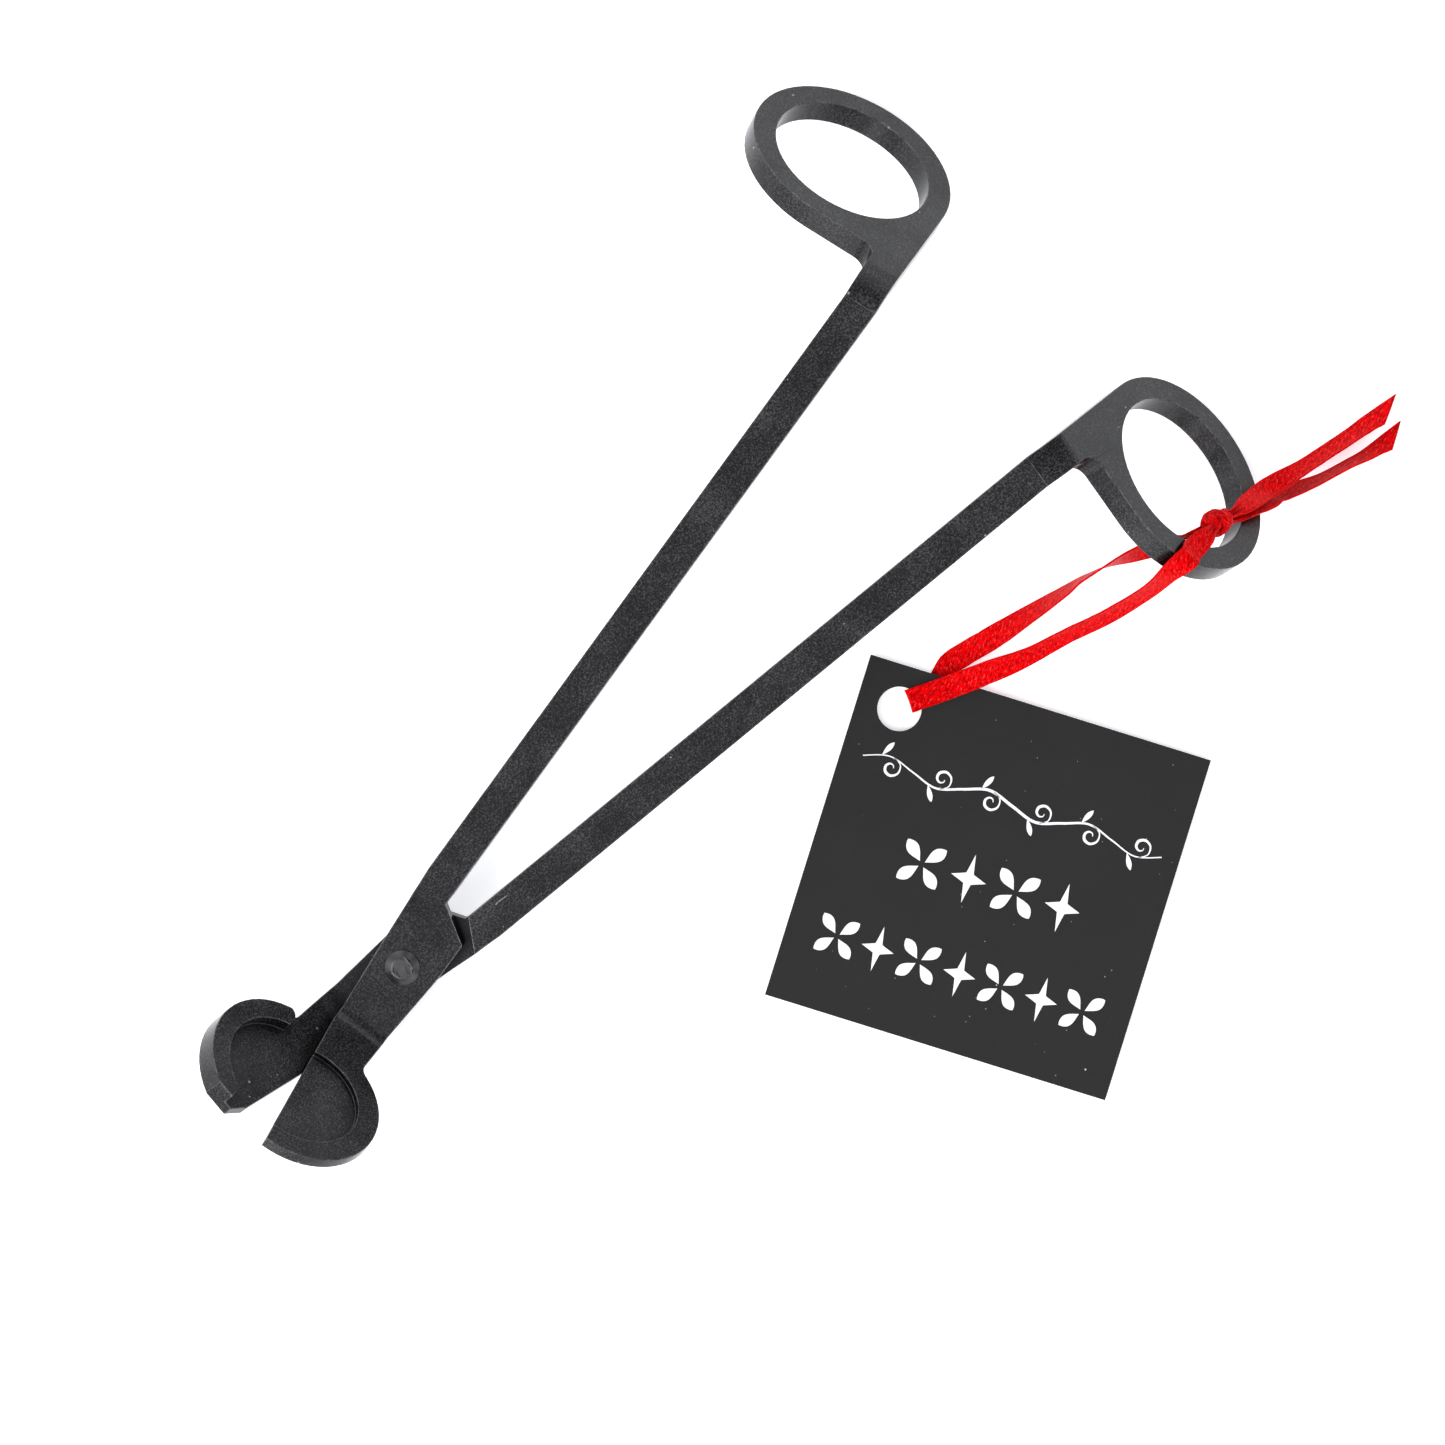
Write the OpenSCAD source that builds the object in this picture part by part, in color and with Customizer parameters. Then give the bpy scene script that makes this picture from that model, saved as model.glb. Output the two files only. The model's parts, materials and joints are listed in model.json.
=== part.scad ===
// Candle wick trimmer: two one-piece steel levers on one rivet, with a hang tag on a ribbon.
// It lies open on a table. +Z is up and +X runs from the cutting head to the finger rings.
// The origin is on the table, under the middle of the trimmer's footprint.
//
// Each lever is drawn in its own frame: x along the arm from the rivet to the ring, y outward,
// z = 0 on the upper face. The two levers are twins: one keeps the upper half of the lap joint,
// the other keeps the lower half and carries the rim of the tray.

/* [Levers] */
// Width of each arm
arm_w = 5; // [4:0.1:6]
// Thickness of the plate the levers are made from
plate_t = 3.5; // [3:0.1:4.5]
// Gap between one arm and the centre line, when the trimmer is shut
arm_gap = 0.32; // [0.1:0.01:1]
// Rivet to the start of the bend at the finger ring
ring_bend_x = 116; // [90:0.5:150]
// Half of the angle between the open arms
open_half = 7; // [0:0.1:15]

/* [Finger rings] */
// Diameter of the finger hole
ring_hole_d = 23.5; // [18:0.1:30]
// Width of metal round the hole
ring_rim = 3.45; // [2:0.1:5]
// Angle that the ring is bent down from its arm
ring_bend = 64.5; // [40:1:75]
// Turn of the bend line, so that the rings splay a little
ring_skew = 4.6; // [0:0.1:10]
// Inner radius of the bend
ring_bend_r = 2.5; // [1:0.1:4]
// End of the bend to the hole's centre, along the ring
ring_reach = 18.8; // [17:0.1:25]
// Arm's centre line to the hole's centre, outward
ring_offset = 12.7; // [11:0.1:16]
// Fillet between the arm and the ring
ring_fillet_r = 2.4; // [1:0.1:2.8]

/* [Cutting head] */
// Rivet to the start of the bend at the head
head_bend_x = 9.6; // [8:0.1:15]
// Angle that the head is bent up from the arms
head_bend = 63.5; // [40:0.5:75]
// Inner radius of the bend
head_bend_r = 2; // [1:0.1:4]
// End of the bend to the middle of the round head
head_reach = 16.65; // [14:0.05:20]
// Outer radius of the round head
head_r = 11.9; // [10:0.1:14]
// Radius inside the rim of the tray
tray_r = 8.9; // [6:0.1:9.5]
// Radius of the recess in the cutting half
recess_r = 8.6; // [6:0.1:9.5]
// Depth of the recess in the cutting half
recess_depth = 0.8; // [0.3:0.1:1.1]
// Overlap of the cutting edge past the centre line, at the bend
edge_near = 3.65; // [3:0.05:4.5]
// Overlap of the cutting edge past the centre line, at the tip
edge_far = 0.1; // [0:0.05:1]
// Metal ground off under the cutting half's edge at the bend, so that the halves clear
edge_relief = 0.45; // [0.4:0.05:0.8]

/* [Pivot] */
// Diameter of the rivet's shank
rivet_d = 4; // [3:0.1:5]
// Diameter of the rivet's heads
rivet_head_d = 5.4; // [5:0.1:7]
// Diameter of the flat on top of the head
rivet_flat_d = 3.2; // [2:0.1:4]
// Height of the upper head
rivet_head_h = 0.85; // [0.4:0.05:1.2]
// Radial clearance of the shank in the moving lever
rivet_clearance = 0.05; // [0.02:0.01:0.1]
// Gap between the two halves of the lap joint
lap_gap = 0.06; // [0.02:0.01:0.1]

/* [Tag and ribbon] */
// Side of the square hang tag
tag_side = 50.8; // [30:0.1:60]
// Thickness of the card
tag_t = 0.5; // [0.3:0.05:1]
// Diameter of the punched hole
tag_hole_d = 6.35; // [5:0.05:8]
// Hole's centre from the two edges beside it
tag_hole_inset = 6.2; // [4.5:0.1:9]
// Turn of the tag on the table
tag_turn = -63.9; // [-70:0.1:-58]
// Height of the tag's underside above the table
tag_z = 0.5; // [0.45:0.01:0.6]
// Width of the ribbon
ribbon_w = 3.4; // [2:0.1:4]
// Thickness of the ribbon
ribbon_t = 0.36; // [0.2:0.02:0.5]

/* [Hidden] */

round_fn = 96;
far_past = 60;          // long enough to cut right across a head
sliver = 0.01;          // step that keeps faces of joined solids from falling almost together
run_in = 0.05;          // flat plates run this far into a bent strip

half_t = plate_t / 2;
arm_mid = arm_gap + arm_w / 2;
arm_out = arm_gap + arm_w;
ring_hole_r = ring_hole_d / 2;
ring_r = ring_hole_r + ring_rim;
ring_turn_r = ring_bend_r + plate_t;
strip_half = arm_w / 2 / cos(ring_skew);

// Lap joint: the shoulder of one half meets the step of the other when the trimmer shuts.
step_in_x = 12.2;       // step, at the arm's inner edge
step_out_x = 9.4;       // step, at the arm's outer edge
shoulder_x = 11.2;      // shoulder, at the arm's inner edge
cheek_x = 7.8;          // shoulder's far corner
cheek_y = -5.05;
waist_x = 1;            // outer edge is narrowest from here to the head
waist_y = 4.45;
neck_in = -4.15;        // the neck's edge on the round head's side
flare_x = 14;           // outer edge is at full width from here

// Round head
neck_fillet_r = 2;
head_mid_y = 0.35;
tray_tip = 27.5;        // the tray's tip is cut square here
tip_corner_y = -0.7;    // the square tip's corner is taken off from here to the tray's open edge
tip_corner_slope = 0.53;
rim_setback = 1.5;      // the rim's ends stand back from the other half's cutting edge
rim_end_r = 1.2;        // the rim's outer corner beside the neck is rounded
edge_slope = (edge_near - edge_far) / 30;
relief_y = 1.2;         // the ground-off metal starts here

// ---- Resting on the table ----
// The trimmer touches the table at the far end of each ring and at the tray lever's elbow.
// Both heights depend on the pitch of the arms, so the pitch is found by halving an interval.

// The direction of up, in a lever's own frame
function up_in_lever(pitch) =
    [sin(pitch) * cos(open_half), -sin(pitch) * sin(open_half), cos(pitch)];

// Middle of the finger hole on the ring's lower face, in the lever's frame
function ring_low_mid() =
    let (x = ring_bend_r * sin(ring_bend) + ring_reach * cos(ring_bend),
         z = -ring_turn_r + ring_bend_r * cos(ring_bend) - ring_reach * sin(ring_bend))
    [ring_bend_x + x * cos(ring_skew) - ring_offset * sin(ring_skew),
     arm_mid + x * sin(ring_skew) + ring_offset * cos(ring_skew), z];

ring_along = [cos(ring_bend) * cos(ring_skew), cos(ring_bend) * sin(ring_skew), -sin(ring_bend)];
ring_across = [-sin(ring_skew), cos(ring_skew), 0];

function ring_foot(up) =
    ring_low_mid() * up - ring_r * norm([ring_along * up, ring_across * up]);

function elbow_foot(up) =
    -head_bend_x * up.x + head_bend_r * up.z + min(neck_in * up.y, edge_near * up.y)
    - (head_bend_r + plate_t) * norm([up.x, up.z]);

function foot_gap(pitch) = let (up = up_in_lever(pitch)) ring_foot(up) - elbow_foot(up);

function solve_pitch(low, high, steps) =
    let (mid = (low + high) / 2)
    steps == 0 ? mid
    : foot_gap(mid) < 0 ? solve_pitch(mid, high, steps - 1) : solve_pitch(low, mid, steps - 1);

pitch = solve_pitch(0, 25, 30);
pivot_z = -elbow_foot(up_in_lever(pitch));
// Half of the footprint's length lies on each side of the origin
pivot_x = -52.6;

// ---- Frames ----
module at_pivot() {
    translate([pivot_x, 0, pivot_z])
        rotate([0, -pitch, 0])
            children();
}

// side is 1 for the lever whose ring is on +Y, and -1 for its twin
module lever_frame(side) {
    at_pivot()
        rotate([0, 0, side * open_half])
            mirror([0, side < 0 ? 1 : 0, 0])
                children();
}

module ring_frame() {
    translate([ring_bend_x, arm_mid, -ring_turn_r])
        rotate([0, 0, ring_skew])
            rotate([0, ring_bend, 0])
                translate([0, 0, ring_turn_r])
                    children();
}

// Here x runs back from the head to the bend, so the head lies on negative x
module head_frame() {
    translate([-head_bend_x, 0, head_bend_r])
        rotate([0, head_bend, 0])
            translate([0, 0, -head_bend_r])
                children();
}

// ---- Lever outlines ----
module arm_outline() {
    skew_x = strip_half * sin(ring_skew);
    end_x = ring_bend_x + run_in;
    polygon([[step_in_x, arm_gap], [end_x + skew_x, arm_gap], [end_x - skew_x, arm_out], [flare_x, arm_out],
             [step_out_x, waist_y + (arm_out - waist_y) * (step_out_x - waist_x) / (flare_x - waist_x)]]);
}

module lap_outline() {
    end_x = -head_bend_x - run_in;
    polygon([[flare_x, arm_gap], [shoulder_x, arm_gap], [cheek_x, cheek_y], [2, cheek_y],
             [-head_bend_x, neck_in], [end_x, neck_in], [end_x, edge_near], [-head_bend_x, edge_near],
             [waist_x, waist_y], [flare_x, arm_out]]);
}

module ring_outline() {
    web_x = ring_reach - ring_r;
    fillet_x = web_x - ring_fillet_r;
    difference() {
        union() {
            translate([ring_reach, ring_offset])
                circle(ring_r, $fn = round_fn);
            difference() {
                polygon([[-run_in, -strip_half], [0, -strip_half], [ring_reach, ring_offset - ring_r],
                         [ring_reach, ring_offset], [web_x, ring_offset],
                         [web_x, strip_half + ring_fillet_r], [fillet_x, strip_half + ring_fillet_r],
                         [fillet_x, strip_half], [-run_in, strip_half]]);
                translate([fillet_x, strip_half + ring_fillet_r])
                    circle(ring_fillet_r, $fn = round_fn);
            }
        }
        translate([ring_reach, ring_offset])
            circle(ring_hole_r, $fn = round_fn);
    }
}

// Everything on the head's side of the cutting edge
module behind_edge() {
    polygon([[1, edge_near + edge_slope], [-far_past, edge_near - edge_slope * far_past],
             [-far_past, -far_past], [1, -far_past]]);
}

module head_outline() {
    fillet_y = neck_in - neck_fillet_r;
    fillet_x = -head_reach + sqrt(pow(head_r + neck_fillet_r, 2) - pow(head_mid_y - fillet_y, 2));
    intersection() {
        behind_edge();
        difference() {
            union() {
                translate([-head_reach, head_mid_y])
                    circle(head_r, $fn = round_fn);
                polygon([[run_in, edge_near], [run_in, neck_in], [fillet_x, neck_in], [fillet_x, fillet_y],
                         [-head_reach, head_mid_y], [-head_reach, edge_near]]);
            }
            translate([fillet_x, fillet_y])
                circle(neck_fillet_r + sliver, $fn = round_fn);
        }
    }
}

// ---- Lever solids ----
// The bent strip between the arm and the ring
module ring_elbow() {
    translate([ring_bend_x, arm_mid, -ring_turn_r])
        rotate([0, 0, ring_skew])
            rotate([0, -90, -90])
                rotate_extrude(angle = ring_bend, $fn = round_fn)
                    translate([ring_bend_r + sliver, sliver - strip_half])
                        square([plate_t - 2 * sliver, 2 * (strip_half - sliver)]);
}

// The bent strip between the lap joint and the head, from depth top to depth bottom
module head_elbow(top, bottom, relief) {
    translate([-head_bend_x, 0, head_bend_r])
        rotate([0, 90, 90])
            rotate_extrude(angle = head_bend, $fn = round_fn)
                translate([head_bend_r, 0])
                    polygon([[top + sliver, neck_in + sliver], [bottom - sliver, neck_in + sliver],
                             [bottom - sliver, relief_y], [bottom - relief - sliver, edge_near - sliver],
                             [top + sliver, edge_near - sliver]]);
}

// A flat layer of an outline, from depth top to depth bottom under the upper face
module layer(top, bottom) {
    translate([0, 0, -bottom])
        linear_extrude(bottom - top)
            children();
}

// What both levers share: arm, ring, and one half of the lap joint with its neck
module lever_blank(top, bottom, bore_r, relief) {
    layer(0, plate_t)
        arm_outline();
    ring_elbow();
    ring_frame()
        layer(0, plate_t)
            ring_outline();
    difference() {
        layer(top, bottom)
            lap_outline();
        translate([0, 0, -plate_t - 1])
            cylinder(h = plate_t + 2, r = bore_r, $fn = round_fn);
    }
    head_elbow(top, bottom, relief);
}

// Upper half of the lap joint; the head is a shallow half-round scoop with the cutting edge
module blade_lever() {
    bottom = half_t - lap_gap / 2;
    color("#343437")
        lever_frame(1) {
            lever_blank(0, bottom, rivet_d / 2 + rivet_clearance, edge_relief);
            head_frame()
                difference() {
                    layer(0, bottom)
                        head_outline();
                    layer(-1, recess_depth)
                        translate([-head_reach, head_mid_y])
                            circle(recess_r, $fn = round_fn);
                    translate([0, relief_y, -bottom])
                        rotate([atan(edge_relief / (edge_near - relief_y)), 0, 0])
                            translate([-far_past, 0, -plate_t])
                                cube([far_past + 1, head_r, plate_t]);
                }
        }
}

// The rim stops on this line, which is turned like the cutting edge
rim_line = [0, -edge_near - rim_setback];
rim_line_up = [edge_slope, 1] / norm([edge_slope, 1]);
head_mid = [-head_reach, head_mid_y];

// Middle of the rim's rounded corner: inside the head's outline and the rim's line by one radius
rim_corner_drop = (rim_line - head_mid) * rim_line_up - rim_end_r;
rim_corner = head_mid + rim_line_up * rim_corner_drop
    + [rim_line_up.y, -rim_line_up.x] * sqrt(pow(head_r - rim_end_r, 2) - pow(rim_corner_drop, 2));

module rim_outline() {
    away = (rim_corner - head_mid) / norm(rim_corner - head_mid);
    difference() {
        translate(head_mid)
            circle(head_r, $fn = round_fn);
        translate(head_mid)
            circle(tray_r, $fn = round_fn);
        polygon([rim_line + [1, -edge_slope], rim_line + [-far_past, edge_slope * far_past], [0, far_past]]);
        polygon([rim_corner, rim_corner + rim_line_up * rim_end_r,
                 rim_corner + (rim_line_up + away) * rim_end_r * 2, rim_corner + away * rim_end_r]);
    }
    translate(rim_corner)
        circle(rim_end_r + sliver, $fn = round_fn);
}

// Lower half of the lap joint; the head is a flat floor with a high C-shaped rim
module tray_lever() {
    top = half_t + lap_gap / 2;
    color("#343437")
        lever_frame(-1) {
            lever_blank(top, plate_t, rivet_d / 2, 0);
            head_frame()
                intersection() {
                    union() {
                        layer(top, plate_t)
                            head_outline();
                        layer(0, plate_t)
                            rim_outline();
                    }
                    layer(-1, plate_t + 1)
                        polygon([[-tray_tip, -far_past], [far_past, -far_past],
                                 [far_past, tip_corner_y + tip_corner_slope * (far_past + tray_tip)],
                                 [-tray_tip, tip_corner_y]]);
                }
        }
}

// One rivet with a coned head above and a low peened head below
module pivot_rivet() {
    play = lap_gap / 2;
    peen_h = 0.6;
    color("#3c3c40")
        at_pivot() {
            translate([0, 0, play])
                cylinder(h = rivet_head_h, d1 = rivet_head_d, d2 = rivet_flat_d, $fn = round_fn);
            translate([0, 0, -plate_t])
                cylinder(h = plate_t + play + sliver, d = rivet_d, $fn = round_fn);
            translate([0, 0, -plate_t - peen_h])
                cylinder(h = peen_h, d1 = rivet_flat_d, d2 = rivet_head_d, $fn = round_fn);
        }
}

// ---- Tag and ribbon ----
tag_hole = [pivot_x + 75.3, -26.1];

module hang_tag() {
    color("#202022")
        translate([tag_hole.x, tag_hole.y, tag_z])
            rotate([0, 0, tag_turn])
                linear_extrude(tag_t)
                    difference() {
                        translate([-tag_hole_inset, tag_hole_inset - tag_side])
                            square(tag_side);
                        circle(d = tag_hole_d, $fn = round_fn);
                    }
}

// ---- Ribbon ----
// A route point is [x, y, z, nx, ny, nz]: a place, with x counted from the rivet, and the way the
// ribbon's outer face points there.

// The same for a place given on the tray lever's ring: distance from the hole's axis, angle from
// the ring's far end, height over the ring's upper face, and the face's lean out from the axis
function ring_route(r, angle, height, lean) =
    let (u = ring_reach + r * cos(angle), v = ring_offset + r * sin(angle),
         in_ring = [u, v, height], face = [sin(lean) * cos(angle), sin(lean) * sin(angle), cos(lean)])
    concat(ring_to_world(in_ring, 1), ring_to_world(face, 0));

// Carries a vector out of the ring's frame; shift is 1 for a place and 0 for a direction
function ring_to_world(v, shift) =
    let (z = v.z + shift * ring_turn_r,
         bent_x = v.x * cos(ring_bend) + z * sin(ring_bend),
         bent_z = z * cos(ring_bend) - v.x * sin(ring_bend) - shift * ring_turn_r,
         arm_x = bent_x * cos(ring_skew) - v.y * sin(ring_skew) + shift * ring_bend_x,
         arm_y = bent_x * sin(ring_skew) + v.y * cos(ring_skew) + shift * arm_mid,
         open_x = arm_x * cos(open_half) - arm_y * sin(open_half),
         open_y = -arm_x * sin(open_half) - arm_y * cos(open_half))
    [open_x * cos(pitch) - bent_z * sin(pitch), open_y,
     open_x * sin(pitch) + bent_z * cos(pitch) + shift * pivot_z];

// Out of the knot, over the band, down to the tag's hole, back under the tag, and up through
// the ring to the knot again
loop_route = [
    ring_route(8.8, 107, 1.2, 0),
    ring_route(10.2, 120, 1.4, 0),
    ring_route(11.8, 130, 0.8, 0),
    ring_route(13.5, 137, 0.5, 0),
    ring_route(15.3, 141, 0.75, 0),
    [115.4, -40.3, 22.8, 0.2, -0.4, 0.9],
    [111, -39.9, 18.8, 0, -0.7, 0.7],
    [104.6, -38.2, 14.8, 0, -0.7, 0.7],
    [98.8, -36, 11.2, 0, -0.7, 0.7],
    [92.9, -34, 7.6, 0, -0.6, 0.8],
    [87.2, -31.4, 4.2, 0, -0.2, 1],
    [83, -29.4, 1.9, 0, 0, 1],
    [80, -27.9, 1.34, 0, 0, 1],
    [78.1, -26.9, 1.32, 0, 0, 1],
    [77.55, -26.63, 1.3, 0, 0, 1],
    [77.2, -26.45, 1.14, -0.64, 0.31, 0.7],
    [77.05, -26.38, 0.76, -0.9, 0.45, 0],
    [77.2, -26.45, 0.38, -0.64, 0.31, -0.7],
    [77.55, -26.63, 0.23, 0, 0, -1],
    [78.1, -26.9, 0.22, 0, 0, -1],
    [79.7, -27.65, 0.22, 0, 0, -1],
    [82.2, -27.6, 0.22, 0, 0, -1],
    [84.8, -26.95, 0.32, 0, 0, -1],
    [87.5, -27.5, 1.7, 0, 0, -1],
    [91, -28.5, 4.1, 0, -0.1, -1],
    [97, -30, 8.2, 0, -0.68, -0.73],
    [103.7, -31.6, 12.4, 0, -0.95, -0.3],
    [106.5, -32.2, 14.2, 0, -1, 0],
    [110.2, -33.5, 16.3, 0, -0.96, 0.28],
    ring_route(11.5, 149, -5, 100),
    ring_route(10.6, 144, -3.2, 95),
    ring_route(10.1, 135, -2.1, 105),
    ring_route(9.3, 126, -1.1, 95),
    ring_route(8.7, 114, -0.5, 80)];

// Out of the knot, over the far band and along the table to the cut end
upper_tail_route = [
    ring_route(8.8, 82, 1.6, 0),
    ring_route(9.6, 68, 1.9, -20),
    ring_route(10.9, 56, 2.1, -40),
    ring_route(15.2, 37.5, 2.3, -50),
    [139.4, -44.1, 3.9, 0.2, 0.75, 0.65],
    [143.5, -45.1, 2.8, 0.2, 0.77, 0.64],
    [147.7, -46.1, 2.1, 0.2, 0.77, 0.64],
    [150.7, -46.7, 1.9, 0.2, 0.7, 0.7],
    [154.4, -47.6, 1.7, 0.1, 0.6, 0.8]];

lower_tail_route = [
    ring_route(9.2, 84, 0.4, 0),
    ring_route(10, 70, 0.7, -10),
    ring_route(11.6, 57, 1.3, -35),
    ring_route(14.8, 45, 1.7, -38),
    [134.6, -44.5, 3.4, 0.2, 0.7, 0.7],
    [139.9, -47, 2.4, 0.2, 0.9, 0.44],
    [144.5, -48.6, 2, 0.2, 0.92, 0.38],
    [147.6, -49.7, 1.9, 0.2, 0.85, 0.5],
    [152.3, -50.8, 1.6, 0.1, 0.6, 0.8]];

// A smooth curve through four neighbouring points of a route, at t from the second to the third
function between(a, b, c, d, t) =
    0.5 * (2 * b + (c - a) * t + (2 * a - 5 * b + 4 * c - d) * t * t + (3 * b - a - 3 * c + d) * t * t * t);

function smooth_route(route, steps) =
    let (last = len(route) - 1)
    concat([for (i = [0:last - 1], k = [0:steps - 1])
                between(route[max(i - 1, 0)], route[i], route[i + 1], route[min(i + 2, last)], k / steps)],
           [route[last]]);

function place(p) = [p[0], p[1], p[2]];
function face_way(p) = [p[3], p[4], p[5]];
function unit(v) = v / norm(v);

// The ribbon's section, as fractions of its half width and half thickness
ribbon_section = [[1, 0], [0.93, 0.8], [0, 1], [-0.93, 0.8], [-1, 0], [-0.93, -0.8], [0, -1], [0.93, -0.8]];

function ribbon_ring(rings, i) =
    let (along = unit(place(rings[min(i + 1, len(rings) - 1)]) - place(rings[max(i - 1, 0)])),
         across = unit(cross(along, face_way(rings[i]))),
         out = cross(across, along))
    [for (c = ribbon_section)
        place(rings[i]) + across * c.x * ribbon_w / 2 + out * c.y * ribbon_t / 2];

module ribbon_strip(route, steps) {
    rings = smooth_route(route, steps);
    sides = len(ribbon_section);
    last = len(rings) - 1;
    translate([pivot_x, 0, 0])
        polyhedron(points = [for (i = [0:last]) each ribbon_ring(rings, i)],
                   faces = concat([[for (k = [sides - 1:-1:0]) k]],
                                  [for (i = [0:last - 1], k = [0:sides - 1])
                                      let (next = (k + 1) % sides, here = i * sides, there = here + sides)
                                      each [[here + k, here + next, there + next],
                                            [here + k, there + next, there + k]]],
                                  [[for (k = [0:sides - 1]) last * sides + k]]),
                   convexity = 6);
}

module ribbon_loop() {
    color("#c81f2d")
        ribbon_strip(loop_route, 2);
}

module ribbon_tail_upper() {
    color("#c81f2d")
        ribbon_strip(upper_tail_route, 3);
}

module ribbon_tail_lower() {
    color("#c81f2d")
        ribbon_strip(lower_tail_route, 3);
}

module ribbon_knot() {
    color("#b81a28")
        translate([pivot_x, 0, 0])
            hull()
                for (p = [[8.8, 113, 0.4, 1.5], [8.5, 100, 0.7, 2], [8.6, 86, 0.8, 1.7]])
                    translate(place(ring_route(p[0], p[1], p[2], 0)))
                        sphere(p[3], $fn = 32);
}

blade_lever();
tray_lever();
pivot_rivet();
hang_tag();
ribbon_loop();
ribbon_knot();
ribbon_tail_upper();
ribbon_tail_lower();
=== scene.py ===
"""The wick trimmer's looks: black powder-coated levers, a rivet, and a card tag on a red satin ribbon.

Everything is in metres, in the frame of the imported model. The levers, the rivet and the card keep their
CAD shape. The ribbon's plain CAD solids are replaced by woven strips along the same routes.
"""
import json
import math

import bmesh
import bpy
from mathutils import Matrix, Vector, noise


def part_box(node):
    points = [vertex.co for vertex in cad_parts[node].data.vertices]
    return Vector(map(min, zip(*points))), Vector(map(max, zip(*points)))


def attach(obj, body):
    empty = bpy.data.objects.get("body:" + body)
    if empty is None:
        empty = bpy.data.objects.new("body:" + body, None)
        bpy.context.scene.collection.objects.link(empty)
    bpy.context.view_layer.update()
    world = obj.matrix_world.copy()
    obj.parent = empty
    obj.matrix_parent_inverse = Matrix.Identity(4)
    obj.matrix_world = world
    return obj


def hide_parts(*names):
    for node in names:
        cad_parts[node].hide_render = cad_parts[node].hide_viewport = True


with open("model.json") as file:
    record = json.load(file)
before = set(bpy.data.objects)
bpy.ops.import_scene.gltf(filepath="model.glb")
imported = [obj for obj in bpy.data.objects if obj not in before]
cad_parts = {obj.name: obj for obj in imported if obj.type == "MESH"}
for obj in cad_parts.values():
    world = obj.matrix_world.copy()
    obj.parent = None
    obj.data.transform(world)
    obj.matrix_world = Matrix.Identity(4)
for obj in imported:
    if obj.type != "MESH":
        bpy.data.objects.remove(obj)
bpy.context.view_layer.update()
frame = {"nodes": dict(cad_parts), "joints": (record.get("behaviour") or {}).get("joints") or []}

MM = 0.001
NODES = frame["nodes"]
JOINTS = {joint["name"]: joint for joint in frame["joints"]}
PIVOT = Vector(JOINTS["lever_pivot"]["pos_m"])
PIVOT_AXIS = Vector(JOINTS["lever_pivot"]["axis"]).normalized()
TAG_HOLE = Vector(JOINTS["tag_swing"]["pos_m"])

# ---- Camera ----
# It looks straight down and is turned so that the cutting head is at the lower left.
CAMERA_HEIGHT = 1.2
CAMERA_AIM = Vector((0.00395, -0.0091, PIVOT.z))
CAMERA_TURN = -46.6
VIEW_WIDTH = 0.20526
SENSOR_MM = 36


def make_camera():
    """A long lens straight above CAMERA_AIM, VIEW_WIDTH wide at that height."""
    data = bpy.data.cameras.new("camera")
    data.sensor_width = SENSOR_MM
    data.lens = SENSOR_MM * CAMERA_HEIGHT / VIEW_WIDTH
    data.clip_start = 0.01
    data.clip_end = 30
    camera = bpy.data.objects.new("camera", data)
    camera.location = CAMERA_AIM + Vector((0, 0, CAMERA_HEIGHT))
    camera.rotation_euler = (0, 0, math.radians(CAMERA_TURN))
    bpy.context.scene.collection.objects.link(camera)
    bpy.context.scene.camera = camera


# ---- Mesh helpers ----
UV_NAME = "ribbon_uv"


def add_object(name, bm, material, smooth=True):
    """Turns a bmesh into an object with one material."""
    bmesh.ops.recalc_face_normals(bm, faces=bm.faces)
    mesh = bpy.data.meshes.new(name)
    bm.to_mesh(mesh)
    bm.free()
    for face in mesh.polygons:
        face.use_smooth = smooth
    mesh.materials.append(material)
    obj = bpy.data.objects.new(name, mesh)
    bpy.context.scene.collection.objects.link(obj)
    return obj


def loft(bm, rings, along):
    """Skins a list of closed rings, closes both ends, and sets UVs: u from along, v round the ring."""
    layers = bm.loops.layers.uv
    uv = layers.get(UV_NAME) or layers.new(UV_NAME)
    rows = [[bm.verts.new(point) for point in ring] for ring in rings]
    sides = len(rings[0])
    for i in range(len(rows) - 1):
        for k in range(sides):
            after = (k + 1) % sides
            corners = [(rows[i][k], along[i], k), (rows[i][after], along[i], k + 1),
                       (rows[i + 1][after], along[i + 1], k + 1), (rows[i + 1][k], along[i + 1], k)]
            face = bm.faces.new([corner[0] for corner in corners])
            for loop, corner in zip(face.loops, corners):
                loop[uv].uv = (corner[1], corner[2] / sides)
    bm.faces.new(rows[0][::-1])
    bm.faces.new(rows[-1])


# ---- Ribbon ----
RIBBON_WIDTH_MM = 3.4
RIBBON_WIDTH = RIBBON_WIDTH_MM * MM
RIBBON_THICK = 0.2 * MM
SELVEDGE_THICK = 0.3 * MM
SELVEDGE_SHARE = 0.09   # width of the thicker edge, in half widths of the ribbon
EDGE_HALF = 0.03 * MM   # half the thickness at the very edge
HALF_SECTION = 9        # points from the ribbon's middle to its edge
RIBBON_CUP = 0.16 * MM
RIPPLE = 0.05 * MM
WAVER = 0.07 * MM
RIPPLE_PITCH, CUP_PITCH, WAVER_PITCH = 1 / 260, 1 / 120, 1 / 700
GATHER_REACH = 3.4 * MM
GATHER_WIDTH = 0.36     # share of the width that is left at the knot
PLEAT = 0.24 * MM
THREAD_SLANT = 13
CUT_REACH = 2.2         # length of the slanted end, in units of the cut
CUT_CURVE = 1.5

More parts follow.
